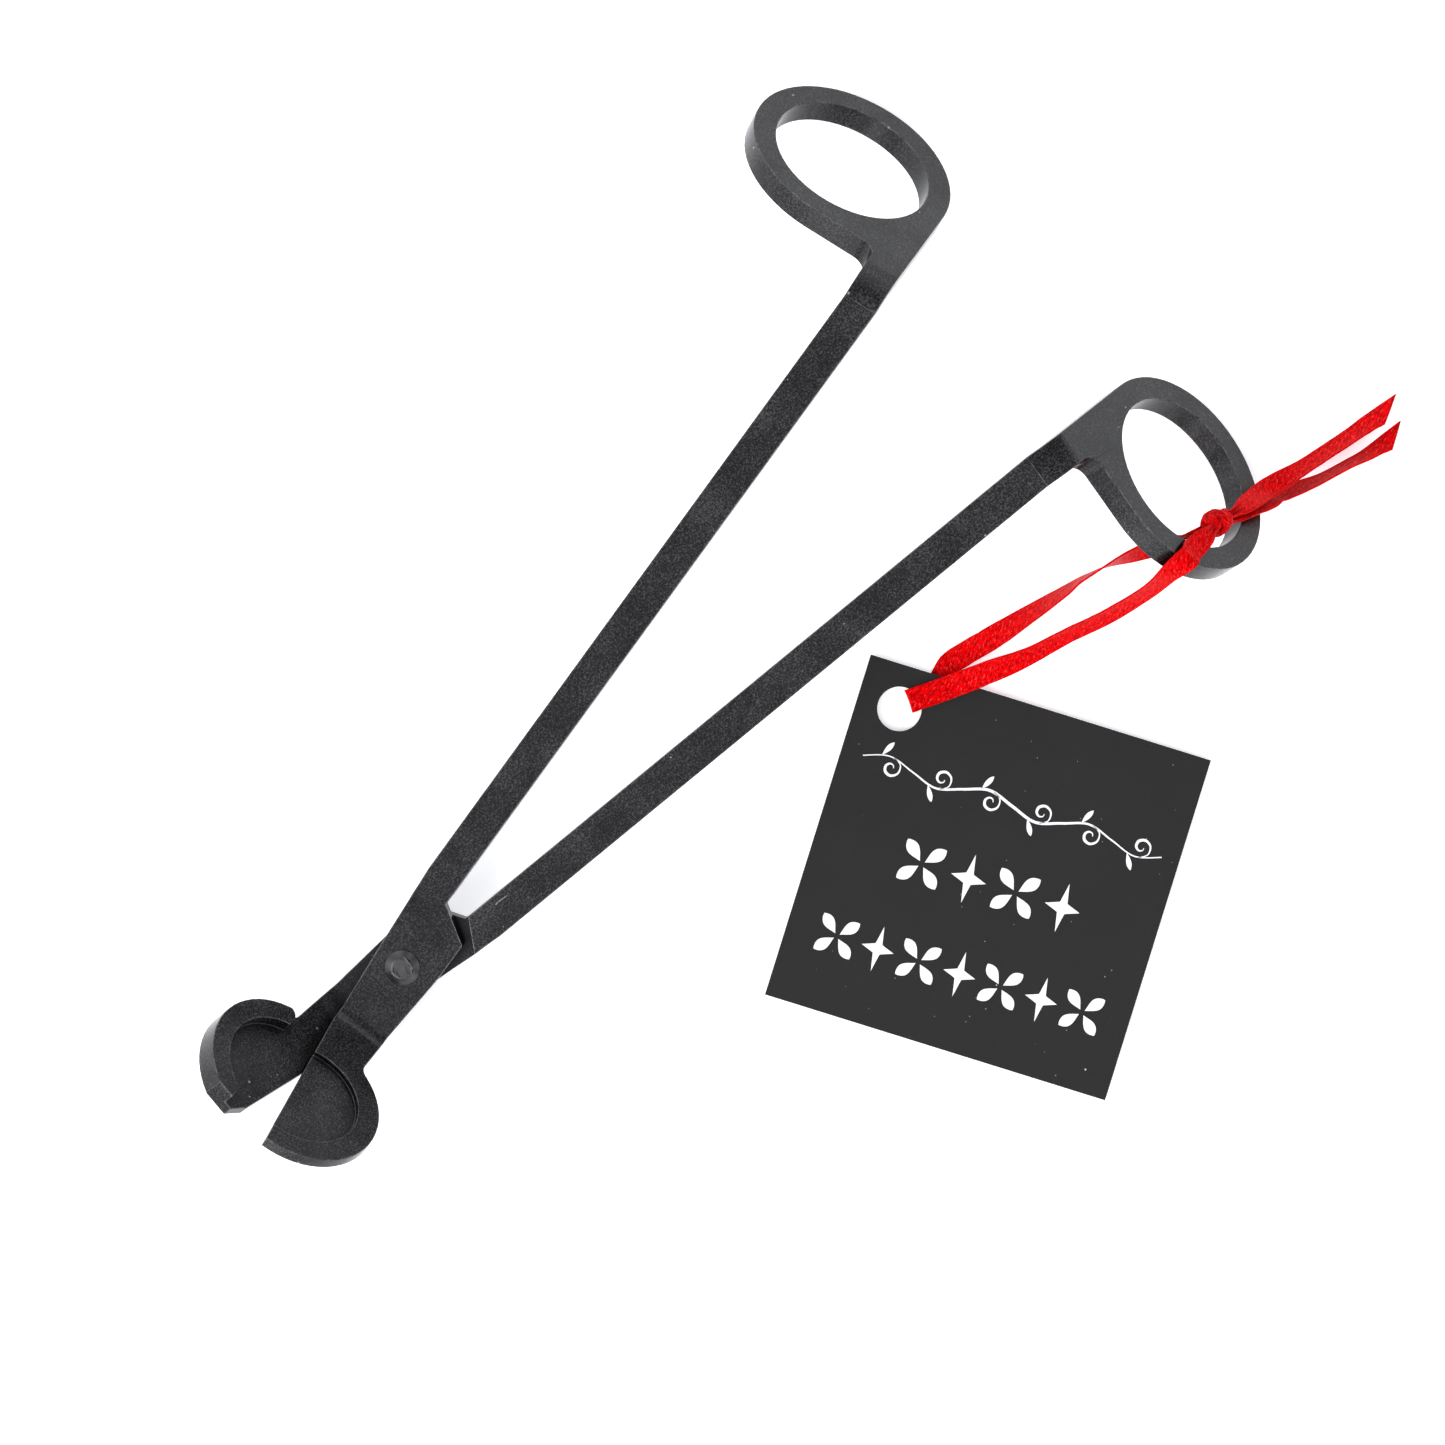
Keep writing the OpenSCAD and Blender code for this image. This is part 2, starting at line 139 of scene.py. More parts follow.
# The finger ring on the tray lever, in the lever's frame, in millimetres and degrees
OPEN_HALF = 7           # half the angle between the open arms
ARM_MID = 2.82          # arm's middle line, out from the line through the rivet
RING_BEND_X = 116       # rivet to the start of the bend
RING_BEND = 64.5        # bend down from the arm
RING_SKEW = 4.6         # turn of the bend line
RING_TURN_R = 6         # outer radius of the bend
RING_REACH = 18.8       # end of the bend to the hole's centre
RING_OFFSET = 12.7      # arm's middle line to the hole's centre


def turn(degrees, axis):
    """A rotation about the axis X, Y or Z."""
    return Matrix.Rotation(math.radians(degrees), 4, axis)


def tray_ring_matrix():
    """Carries a point on the tray lever's ring, in millimetres, into the frame."""
    pitch = math.degrees(math.atan2(-PIVOT_AXIS.x, PIVOT_AXIS.z))
    lever = turn(-pitch, "Y") @ turn(-OPEN_HALF, "Z") @ Matrix.Scale(-1, 4, (0, 1, 0))
    bend = Matrix.Translation((RING_BEND_X, ARM_MID, -RING_TURN_R)) @ turn(RING_SKEW, "Z")
    ring = turn(RING_BEND, "Y") @ Matrix.Translation((0, 0, RING_TURN_R))
    return Matrix.Translation(PIVOT) @ Matrix.Scale(MM, 4) @ lever @ bend @ ring


RING_MATRIX = tray_ring_matrix()


def ring_point(radius, angle, height, lean):
    """A route point on the ring: radius from the hole's axis, angle from the ring's far end, height
    over its upper face, and the lean of the ribbon's face."""
    ray = Vector((math.cos(math.radians(angle)), math.sin(math.radians(angle)), 0))
    place = Vector((RING_REACH, RING_OFFSET, height)) + radius * ray
    face = ray * math.sin(math.radians(lean)) + Vector((0, 0, math.cos(math.radians(lean))))
    return [*(RING_MATRIX @ place), *(RING_MATRIX.to_3x3() @ face).normalized()]


def free_point(x, y, z, face_x, face_y, face_z):
    """A route point off the ring, in millimetres, with x counted from the rivet."""
    return [PIVOT.x + x * MM, y * MM, z * MM, face_x, face_y, face_z]


LOOP_ROUTE = [
    ring_point(8.8, 107, 1.2, 0),
    ring_point(10.2, 120, 1.4, 0),
    ring_point(11.8, 130, 0.8, 0),
    ring_point(13.5, 137, 0.5, 0),
    ring_point(15.3, 141, 0.75, 0),
    free_point(115.4, -40.3, 22.8, 0.2, -0.4, 0.9),
    free_point(111, -39.9, 18.8, 0, -0.7, 0.7),
    free_point(104.6, -38.2, 14.8, 0, -0.7, 0.7),
    free_point(98.8, -36, 11.2, 0, -0.7, 0.7),
    free_point(92.9, -34, 7.6, 0, -0.6, 0.8),
    free_point(87.2, -31.4, 4.2, 0, -0.2, 1),
    free_point(83, -29.4, 1.9, 0, 0, 1),
    free_point(80, -27.9, 1.34, 0, 0, 1),
    free_point(78.1, -26.9, 1.32, 0, 0, 1),
    free_point(77.55, -26.63, 1.3, 0, 0, 1),
    free_point(77.2, -26.45, 1.14, -0.64, 0.31, 0.7),
    free_point(77.05, -26.38, 0.76, -0.9, 0.45, 0),
    free_point(77.2, -26.45, 0.38, -0.64, 0.31, -0.7),
    free_point(77.55, -26.63, 0.23, 0, 0, -1),
    free_point(78.1, -26.9, 0.22, 0, 0, -1),
    free_point(79.7, -27.65, 0.22, 0, 0, -1),
    free_point(82.2, -27.6, 0.22, 0, 0, -1),
    free_point(84.8, -26.95, 0.32, 0, 0, -1),
    free_point(87.5, -27.5, 1.7, 0, 0, -1),
    free_point(91, -28.5, 4.1, 0, -0.1, -1),
    free_point(97, -30, 8.2, 0, -0.68, -0.73),
    free_point(103.7, -31.6, 12.4, 0, -0.95, -0.3),
    free_point(106.5, -32.2, 14.2, 0, -1, 0),
    free_point(110.2, -33.5, 16.3, 0, -0.96, 0.28),
    ring_point(11.5, 149, -5, 100),
    ring_point(10.6, 144, -3.2, 95),
    ring_point(10.1, 135, -2.1, 105),
    ring_point(9.3, 126, -1.1, 95),
    ring_point(8.7, 114, -0.5, 80),
]

UPPER_TAIL_ROUTE = [
    ring_point(8.8, 82, 1.6, 0),
    ring_point(9.6, 68, 1.9, -20),
    ring_point(10.9, 56, 2.1, -40),
    ring_point(15.2, 37.5, 2.3, -50),
    free_point(139.4, -44.1, 3.9, 0.2, 0.75, 0.65),
    free_point(143.5, -45.1, 2.8, 0.2, 0.77, 0.64),
    free_point(147.7, -46.1, 2.1, 0.2, 0.77, 0.64),
    free_point(150.7, -46.7, 1.9, 0.2, 0.7, 0.7),
    free_point(154.4, -47.6, 1.7, 0.1, 0.6, 0.8),
]

LOWER_TAIL_ROUTE = [
    ring_point(9.2, 84, 0.4, 0),
    ring_point(10, 70, 0.7, -10),
    ring_point(11.6, 57, 1.3, -35),
    ring_point(14.8, 45, 1.7, -38),
    free_point(134.6, -44.5, 3.4, 0.2, 0.7, 0.7),
    free_point(139.9, -47, 2.4, 0.2, 0.9, 0.44),
    free_point(144.5, -48.6, 2, 0.2, 0.92, 0.38),
    free_point(147.6, -49.7, 1.9, 0.2, 0.85, 0.5),
    free_point(152.3, -50.8, 1.6, 0.1, 0.6, 0.8),
]


def between(a, b, c, d, t):
    """A smooth curve through four neighbouring points, at t from the second to the third."""
    return [0.5 * (2 * q + (r - p) * t + (2 * p - 5 * q + 4 * r - s) * t * t
                   + (3 * q - p - 3 * r + s) * t ** 3) for p, q, r, s in zip(a, b, c, d)]


def smooth_route(route, steps):
    """The route with that many steps from each of its points to the next."""
    last = len(route) - 1
    points = []
    for i in range(last):
        near = [route[min(max(i + k, 0), last)] for k in (-1, 0, 1, 2)]
        points += [between(*near, k / steps) for k in range(steps)]
    return points + [route[last]]


def route_length(path):
    return sum((b - a).length for a, b in zip(path, path[1:]))


def ribbon_frames(points):
    """For each point of a route: its place, and the along, across and outward directions there."""
    places = [Vector(p[:3]) for p in points]
    last = len(places) - 1
    frames = []
    for i, point in enumerate(points):
        along = (places[min(i + 1, last)] - places[max(i - 1, 0)]).normalized()
        across = along.cross(Vector(point[3:])).normalized()
        frames.append((places[i], along, across, across.cross(along)))
    return frames


def ribbon_section():
    """Points round the ribbon's section: across from -1 to 1, and the height of that surface."""
    top = []
    for k in range(-HALF_SECTION, HALF_SECTION + 1):
        c = math.sin(k / HALF_SECTION * math.pi / 2)
        edge = math.exp(-((1 - abs(c)) / SELVEDGE_SHARE) ** 2)
        half = (RIBBON_THICK + (SELVEDGE_THICK - RIBBON_THICK) * edge) / 2
        if abs(k) == HALF_SECTION:
            half = EDGE_HALF
        top.append((c, half))
    return top + [(c, -half) for c, half in reversed(top)]


SECTION = ribbon_section()


def gather(distance):
    """How far the ribbon is drawn together at a distance from the knot: 1 at the knot, 0 away from it."""
    return math.exp(-(distance / GATHER_REACH) ** 2)


def ribbon_strip(name, route, steps, cut=0.0):
    """A woven strip along a route, gathered into pleats where it leaves the knot. cut is how far one
    corner of the cut end leads the other; without it, both ends are at the knot."""
    frames = ribbon_frames(smooth_route(route, steps))
    path = [f[0] for f in frames]
    total = route_length(path)
    rings = []
    along_at = []
    done = 0.0
    for i, (place, along, across, out) in enumerate(frames):
        done += (place - path[i - 1]).length if i else 0.0
        slant = cut * max(0.0, 1 - (total - done) / (CUT_REACH * abs(cut))) ** CUT_CURVE if cut else 0.0
        ripple = RIPPLE * noise.noise(Vector((done / RIPPLE_PITCH, 0, 3)))
        cup = RIBBON_CUP * (0.6 + 0.4 * noise.noise(Vector((done / CUP_PITCH, 5, 0))))
        drawn = max(gather(done), 0 if cut else gather(total - done))
        half_width = RIBBON_WIDTH / 2 * (1 - (1 - GATHER_WIDTH) * drawn)
        ring = []
        for c, height in SECTION:
            waver = WAVER * noise.noise(Vector((done / WAVER_PITCH, c * 2, 9)))
            lift = height + cup * (c * c - 0.4) + ripple * c + PLEAT * drawn * math.cos(3 * math.pi * c)
            ring.append(place + across * (c * half_width + waver * abs(c)) + out * lift + along * slant * c)
        rings.append(ring)
        along_at.append(done / RIBBON_WIDTH)
    bm = bmesh.new()
    loft(bm, rings, along_at)
    return add_object(name, bm, SATIN), path


# ---- Materials ----
WEAR_FROM = 0.98        # cosine of the edge's rounding at which wear starts
WEAR_GAIN = 4.5


def set_stops(ramp, stops):
    """Gives a colour ramp node its stops, each a position and a colour."""
    elements = ramp.color_ramp.elements
    while len(elements) < len(stops):
        elements.new(0.5)
    for element, (position, colour) in zip(elements, stops):
        element.position = position
        element.color = (*colour, 1)


class Shader:
    """A small builder for node materials."""

    def __init__(self, name):
        self.material = bpy.data.materials.new(name)
        self.material.use_nodes = True
        self.tree = self.material.node_tree
        self.surface = self.tree.nodes["Principled BSDF"]
        self.object_place = self.add("ShaderNodeTexCoord").outputs["Object"]

    def add(self, kind, **settings):
        node = self.tree.nodes.new(kind)
        for key, value in settings.items():
            setattr(node, key, value)
        return node

    def link(self, source, target):
        self.tree.links.new(source, target)

    def put(self, socket, value):
        """Links an output or sets a plain value."""
        if isinstance(value, bpy.types.NodeSocket):
            self.link(value, socket)
        else:
            socket.default_value = value

    def math(self, operation, a, b=0.0, c=0.0, clamp=False):
        """A maths node over outputs or plain values."""
        node = self.add("ShaderNodeMath", operation=operation, use_clamp=clamp)
        for socket, value in zip(node.inputs, (a, b, c)):
            self.put(socket, value)
        return node.outputs[0]

    def noise(self, size, detail=3.0, roughness=0.55, place=None, stretch=(1, 1, 1)):
        """Noise whose grains are about size metres across."""
        mapping = self.add("ShaderNodeMapping")
        mapping.inputs["Scale"].default_value = [s / size for s in stretch]
        self.link(place or self.object_place, mapping.inputs["Vector"])
        node = self.add("ShaderNodeTexNoise")
        node.inputs["Scale"].default_value = 1
        node.inputs["Detail"].default_value = detail
        node.inputs["Roughness"].default_value = roughness
        self.link(mapping.outputs["Vector"], node.inputs["Vector"])
        return node.outputs["Fac"]

    def specks(self, spacing, radius, share):
        """1 inside scattered round specks, which fill that share of the cells of a Voronoi pattern."""
        mapping = self.add("ShaderNodeMapping")
        mapping.inputs["Scale"].default_value = [1 / spacing] * 3
        self.link(self.object_place, mapping.inputs["Vector"])
        cells = self.add("ShaderNodeTexVoronoi")
        cells.inputs["Scale"].default_value = 1
        self.link(mapping.outputs["Vector"], cells.inputs["Vector"])
        split = self.add("ShaderNodeSeparateColor")
        self.link(cells.outputs["Color"], split.inputs["Color"])
        near = self.math("MULTIPLY", split.outputs["Green"], radius / spacing)
        inside = self.math("LESS_THAN", cells.outputs["Distance"], near)
        kept = self.math("LESS_THAN", split.outputs["Red"], share)
        return self.math("MULTIPLY", inside, kept)

    def ramp(self, value, stops):
        """A colour ramp over value."""
        node = self.add("ShaderNodeValToRGB")
        set_stops(node, stops)
        self.link(value, node.inputs["Fac"])
        return node.outputs["Color"]

    def mix(self, factor, a, b):
        """Colour a where factor is 0, and colour b where it is 1."""
        node = self.add("ShaderNodeMix", data_type="RGBA")
        self.put(node.inputs["Factor"], factor)
        colours = [socket for socket in node.inputs if socket.type == "RGBA"]
        for socket, value in zip(colours, (a, b)):
            self.put(socket, value if isinstance(value, bpy.types.NodeSocket) else (*value, 1))
        return next(socket for socket in node.outputs if socket.type == "RGBA")

    def bump(self, height, distance, strength=1.0, below=None):
        """A bumped normal, over the normal below if one is given."""
        node = self.add("ShaderNodeBump")
        node.inputs["Strength"].default_value = strength
        node.inputs["Distance"].default_value = distance
        self.link(height, node.inputs["Height"])
        if below:
            self.link(below, node.inputs["Normal"])
        return node.outputs["Normal"]

    def painted_shade_mask(self, reach, gain):
        """A mask for painted shade: 0 in the open and up to 1 in corners. Only what is within reach counts
        as shutting a place in.
        """
        shade = self.add("ShaderNodeAmbientOcclusion", samples=6)
        shade.inputs["Distance"].default_value = reach
        return self.math("MULTIPLY", self.math("SUBTRACT", 1.0, shade.outputs["AO"]), gain, clamp=True)

    def worn_edge(self, radius):
        """About 0 on flat faces and up to 1 along sharp edges."""
        rounded = self.add("ShaderNodeBevel", samples=4)
        rounded.inputs["Radius"].default_value = radius
        flat = self.add("ShaderNodeNewGeometry")
        dot = self.add("ShaderNodeVectorMath", operation="DOT_PRODUCT")
        self.link(rounded.outputs["Normal"], dot.inputs[0])
        self.link(flat.outputs["True Normal"], dot.inputs[1])
        turned = self.math("SUBTRACT", WEAR_FROM, dot.outputs["Value"])
        return self.math("MULTIPLY", turned, WEAR_GAIN, clamp=True)


def powder_coat(name, scratches=()):
    """Satin black powder coat: a fine grain, faint dust, steel at worn edges that also stands in for edge
    highlights, and painted shade in corners.
    """
    s = Shader(name)
    grain = s.noise(0.27 * MM, detail=3, roughness=0.8)
    cloud = s.noise(7 * MM, detail=3)
    patch = s.noise(1.3 * MM, detail=4, roughness=0.65)
    tone = s.math("ADD", s.math("MULTIPLY", grain, 0.8), s.math("MULTIPLY", cloud, 0.2))
    hollow, middle, crest = (0.0008, 0.0008, 0.0010), (0.0084, 0.0084, 0.0088), (0.0460, 0.0460, 0.0464)
    bare_steel_and_edge_highlight, dust_grey, scratch_grey = (0.42, 0.41, 0.39), (0.35, 0.35, 0.35), (0.22, 0.22, 0.23)
    # painted shade: a near-black for corners and recesses
    painted_corner_shade = (0.0002, 0.0002, 0.0003)
    coat = s.ramp(tone, [(0.39, hollow), (0.50, middle), (0.61, crest)])
    ragged = s.math("SUBTRACT", s.math("MULTIPLY", patch, 2.6), 0.75, clamp=True)
    # worn edges and painted highlight: the light steel grey along sharp edges is partly wear and partly
    # stands in for bright edge highlights
    edge = s.math("MULTIPLY", s.worn_edge(0.26 * MM), ragged)
    worn = s.mix(edge, coat, bare_steel_and_edge_highlight)
    dust = s.specks(1.6 * MM, 0.24 * MM, 0.12)
    colour = s.mix(s.math("MULTIPLY", dust, 0.5), worn, dust_grey)
    for scratch in scratches:
        colour = s.mix(scratch_mask(s, **scratch), colour, scratch_grey)
    # painted shade: corners and recesses of the coat are darkened towards black
    shaded = s.mix(s.painted_shade_mask(2.4 * MM, 1.9), colour, painted_corner_shade)
    s.link(shaded, s.surface.inputs["Base Color"])
    s.link(s.math("ADD", 0.13, s.math("MULTIPLY", patch, 0.14)), s.surface.inputs["Roughness"])
    s.surface.inputs["Specular IOR Level"].default_value = 0.22
    fine = s.bump(grain, 0.04 * MM, 0.35)
    s.link(s.bump(cloud, 0.25 * MM, 0.15, fine), s.surface.inputs["Normal"])
    return s.material


def scratch_mask(s, place, heading, length, width):
    """1 along a short scratch seen from above. heading is in degrees from +X."""
    mapping = s.add("ShaderNodeMapping", vector_type="TEXTURE")
    mapping.inputs["Location"].default_value = place
    mapping.inputs["Rotation"].default_value = (0, 0, math.radians(heading))
    s.link(s.object_place, mapping.inputs["Vector"])
    split = s.add("ShaderNodeSeparateXYZ")
    s.link(mapping.outputs["Vector"], split.inputs["Vector"])
    bend = s.math("MULTIPLY", s.math("SUBTRACT", s.noise(0.7 * MM), 0.5), 0.5 * MM)
    across = s.math("ABSOLUTE", s.math("ADD", split.outputs["Y"], bend))
    inside = s.math("LESS_THAN", across, width / 2)
    short = s.math("LESS_THAN", s.math("ABSOLUTE", split.outputs["X"]), length / 2)
    broken = s.math("GREATER_THAN", s.noise(0.25 * MM), 0.47)
    return s.math("MULTIPLY", s.math("MULTIPLY", inside, short), broken)


def rivet_steel():
    """The rivet: the same black, rubbed in patches and along the rim of its crown."""
    s = Shader("rivet_black")
    grain = s.noise(0.14 * MM, detail=4, roughness=0.7)
    rub = s.noise(0.9 * MM, detail=4, roughness=0.7)
    black, rubbed, rim_grey = (0.008, 0.008, 0.0088), (0.024, 0.024, 0.026), (0.14, 0.14, 0.145)
    colour = s.ramp(rub, [(0.35, black), (0.75, rubbed)])
    edge = s.math("MULTIPLY", s.worn_edge(0.25 * MM), rub)
    worn = s.mix(s.math("MULTIPLY", edge, 0.8), colour, rim_grey)
    s.link(worn, s.surface.inputs["Base Color"])
    s.link(s.math("ADD", 0.26, s.math("MULTIPLY", grain, 0.14)), s.surface.inputs["Roughness"])
    s.link(s.bump(grain, 0.02 * MM, 0.8, s.bump(rub, 0.06 * MM, 0.5)), s.surface.inputs["Normal"])
    return s.material


def black_card():
    """Black printed card with lighter cut edges, paper fibre and white dust."""
    s = Shader("tag_card")
    fibre = s.noise(0.22 * MM, detail=5, roughness=0.7)
    cloud = s.noise(9 * MM, detail=3)
    tone = s.math("ADD", s.math("MULTIPLY", fibre, 0.6), s.math("MULTIPLY", cloud, 0.4))
    dark_face, light_face = (0.0028, 0.0027, 0.0022), (0.0064, 0.0062, 0.0054)
    dark_cut, light_cut = (0.03, 0.03, 0.028), (0.22, 0.21, 0.19)
    dust_grey, lint_white = (0.45, 0.45, 0.43), (0.7, 0.7, 0.68)
    face = s.ramp(tone, [(0.3, dark_face), (0.7, light_face)])
    geometry = s.add("ShaderNodeNewGeometry")
    split = s.add("ShaderNodeSeparateXYZ")
    s.link(geometry.outputs["True Normal"], split.inputs["Vector"])
    side = s.math("LESS_THAN", s.math("ABSOLUTE", split.outputs["Z"]), 0.6)
    cut = s.ramp(s.noise(0.1 * MM, detail=3), [(0.35, dark_cut), (0.75, light_cut)])
    body = s.mix(side, face, cut)
    dust = s.specks(1.15 * MM, 0.10 * MM, 0.3)
    lint = s.specks(3.1 * MM, 0.17 * MM, 0.25)
    dusted = s.mix(s.math("MULTIPLY", dust, 0.45), body, dust_grey)
    s.link(s.mix(s.math("MULTIPLY", lint, 0.6), dusted, lint_white), s.surface.inputs["Base Color"])
    s.link(s.math("ADD", 0.5, s.math("MULTIPLY", fibre, 0.2)), s.surface.inputs["Roughness"])
    s.surface.inputs["Specular IOR Level"].default_value = 0.35
    fine = s.bump(fibre, 0.015 * MM, 0.8)
    s.link(s.bump(cloud, 0.5 * MM, 0.2, fine), s.surface.inputs["Normal"])
    return s.material


def white_print():
    """White ink: slightly uneven over the card's fibre."""
    s = Shader("print_white")
    fibre = s.noise(0.2 * MM, detail=4, roughness=0.7)
    s.link(s.ramp(fibre, [(0.3, [0.62] * 3), (0.6, [0.86] * 3)]), s.surface.inputs["Base Color"])
    s.link(s.math("ADD", 0.5, s.math("MULTIPLY", fibre, 0.2)), s.surface.inputs["Roughness"])
    s.link(s.bump(fibre, 0.01 * MM, 0.6), s.surface.inputs["Normal"])
    return s.material


def satin():
    """Red satin: fine threads at a slant, painted glints where threads turn, painted shade of folds in
    broad patches, and painted shade in hollows.
    """
    s = Shader("satin_red")
    flat = s.add("ShaderNodeUVMap", uv_map=UV_NAME).outputs["UV"]
    mapping = s.add("ShaderNodeMapping")
    mapping.inputs["Rotation"].default_value = (0, 0, math.radians(THREAD_SLANT))
    s.link(flat, mapping.inputs["Vector"])
    slanted = mapping.outputs["Vector"]
    threads = s.noise(1.0, detail=2, roughness=0.6, place=slanted, stretch=(3.4, 22, 1))
    floats = s.noise(1.0, detail=3, roughness=0.8, place=slanted, stretch=(6, 24, 1))
    painted_glint_noise = s.noise(1.0, detail=2, roughness=0.8, place=slanted, stretch=(6, 28, 1))
    fold = s.noise(2.4 * MM, detail=2)
    tone = s.math("ADD", s.math("MULTIPLY", threads, 0.4), s.math("MULTIPLY", floats, 0.6))
    dark, middle, light = (0.25, 0.0001, 0.0004), (0.54, 0.0002, 0.0010), (0.74, 0.0008, 0.0024)
    painted_glint_red, painted_fold_shade_red, painted_hollow_shade_red = (0.88, 0.085, 0.075), (0.36, 0.001, 0.004), (0.13, 0.0001, 0.0004)
    base = s.ramp(tone, [(0.41, dark), (0.5, middle), (0.58, light)])
    # painted highlight: light pinkish-red glints are mixed in where the glint noise is high
    painted_glint_mask = s.math("MULTIPLY", s.math("SUBTRACT", s.math("MULTIPLY", painted_glint_noise, 8.0), 4.5, clamp=True), 0.6)
    with_painted_glints = s.mix(painted_glint_mask, base, painted_glint_red)
    # painted shade of folds: broad noise patches darken the red
    with_painted_fold_shade = s.mix(s.math("MULTIPLY", fold, 0.16), with_painted_glints, painted_fold_shade_red)
    # painted shade: hollows and creases, most of all in the knot, are darkened towards deep red
    s.link(s.mix(s.painted_shade_mask(1.1 * MM, 0.85), with_painted_fold_shade, painted_hollow_shade_red), s.surface.inputs["Base Color"])
    s.link(s.math("ADD", 0.36, s.math("MULTIPLY", floats, 0.2)), s.surface.inputs["Roughness"])
    s.surface.inputs["Specular IOR Level"].default_value = 0.05
    s.surface.inputs["Specular Tint"].default_value = (1.0, 0.07, 0.06, 1)
    s.surface.inputs["Anisotropic"].default_value = 0.55
    tangent = s.add("ShaderNodeTangent", direction_type="UV_MAP", uv_map=UV_NAME)
    s.link(tangent.outputs["Tangent"], s.surface.inputs["Tangent"])
    fine = s.bump(threads, 0.05 * MM, 0.9)
    s.link(s.bump(floats, 0.05 * MM, 0.9, fine), s.surface.inputs["Normal"])
    return s.material


def pale_floor():
    """White paper with a glow of its own, so that the table stays white under the studio's dim top."""
    s = Shader("floor_white")
    paper = s.noise(40 * MM, detail=2)
    s.link(s.ramp(paper, [(0.3, [0.93] * 3), (0.7, [0.95] * 3)]), s.surface.inputs["Base Color"])
    s.surface.inputs["Roughness"].default_value = 0.9
    s.surface.inputs["Specular IOR Level"].default_value = 0.1
    s.surface.inputs["Emission Color"].default_value = (1, 1, 1, 1)
    s.surface.inputs["Emission Strength"].default_value = 0.34
    return s.material


# ---- Knot ----
KNOT_FROM = Vector(ring_point(8.8, 113, 0.4, 0)[:3])
KNOT_TO = Vector(ring_point(8.6, 86, 0.8, 0)[:3])
KNOT_MID = Vector(ring_point(8.5, 100, 0.8, 0)[:3])
KNOT_UP = Vector(ring_point(8.5, 100, 0.8, 0)[3:])


def knot_matrix():
    """Carries a point of the knot, in millimetres with x along the ribbon, into the frame."""
    along = (KNOT_TO - KNOT_FROM).normalized()
    across = KNOT_UP.cross(along).normalized()
    up = along.cross(across)
    turned = Matrix((along, across, up)).transposed().to_4x4()
    return Matrix.Translation(KNOT_MID) @ turned @ Matrix.Scale(MM, 4)


KNOT_HALF_LENGTH = 2.9
KNOT_END = 0.12         # share of a half wave that is cut off at each end of the core
END_WIDE, EXTRA_WIDE = 0.75, 0.95
END_HIGH, EXTRA_HIGH = 0.42, 0.78


def knot_core(bm, matrix):
    """The gathered strands inside the knot, with folds along them."""
    rings = []
    along_at = []
    steps = 28
    sides = 44
    for i in range(steps + 1):
        t = i / steps
        x = KNOT_HALF_LENGTH * (2 * t - 1)
        swell = math.sin(math.pi * (KNOT_END + (1 - 2 * KNOT_END) * t))
        wide = END_WIDE + EXTRA_WIDE * swell
        high = END_HIGH + EXTRA_HIGH * swell
        ring = []
        for k in range(sides):
            a = 2 * math.pi * k / sides
            fold = 1 + 0.12 * math.sin(5 * a + 1.9 * x) + 0.06 * math.sin(11 * a - 2.6 * x)
            ring.append(matrix @ Vector((x, wide * fold * math.cos(a), high * fold * math.sin(a))))
        rings.append(ring)
        along_at.append(x / RIBBON_WIDTH_MM)
    loft(bm, rings, along_at)


def knot_wrap(bm, matrix, start, turns, shift, slant, wide, high, width):
    """A strand of ribbon wound round the knot from the angle start. shift is its place along the knot,
    and slant moves it further along as it crosses over."""
    steps = 72
    sides = 18
    mean_radius = 1.7
    tucked = 0.72        # how near to the core the ends are
    half_thick, bulge, crease_depth = 0.30, 0.12, 0.13
    rings = []
    along_at = []
    for i in range(steps + 1):
        t = i / steps
        a = start + 2 * math.pi * turns * t
        tuck = min(1.0, 6 * t, 6 * (1 - t))
        grow = tucked + (1 - tucked) * math.sin(tuck * math.pi / 2)
        middle = Vector((shift + slant * math.sin(a), wide * grow * math.cos(a), high * grow * math.sin(a)))
        out = Vector((0, math.cos(a) / wide, math.sin(a) / high)).normalized()
        ring = []
        for k in range(sides):
            b = 2 * math.pi * k / sides
            crease = crease_depth * math.cos(3.5 * math.pi * math.cos(b) + 2 * a)
            thick = half_thick + bulge * math.cos(math.pi * math.cos(b))
            ring.append(matrix @ (middle + Vector((width / 2 * math.cos(b), 0, 0))
                                  + out * (math.sin(b) * thick + crease)))
        rings.append(ring)
        along_at.append(a * mean_radius / RIBBON_WIDTH_MM)
    loft(bm, rings, along_at)


def make_knot():
    """The knot on the ring: a core of strands and two strands wound round it."""
    matrix = knot_matrix()
    bm = bmesh.new()
    knot_core(bm, matrix)
    knot_wrap(bm, matrix, start=0.4, turns=1.06, shift=-0.15, slant=0.75, wide=1.62, high=1.22, width=2.3)
    knot_wrap(bm, matrix, start=2.6, turns=0.62, shift=1.25, slant=-0.5, wide=1.25, high=1.02, width=1.5)
    knot = add_object("ribbon_knot_folds", bm, SATIN)
    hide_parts("ribbon_knot")
    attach(knot, "tray_half")
    return knot


# ---- Tag's print ----
# The ornament stands in for lettering. It is drawn in the tag's own millimetres, from the punched hole.
TAG_TURN = -63.9
PRINT_RISE = 0.035
PRINT_SINK = 0.01
VINE_LEFT, VINE_RIGHT = -3.0, 42.0
VINE_Y = -7.85
VINE_FALL = 0.028       # how far the vine drops per millimetre to the right
VINE_WAVE = 1.1
VINE_BAYS = 6


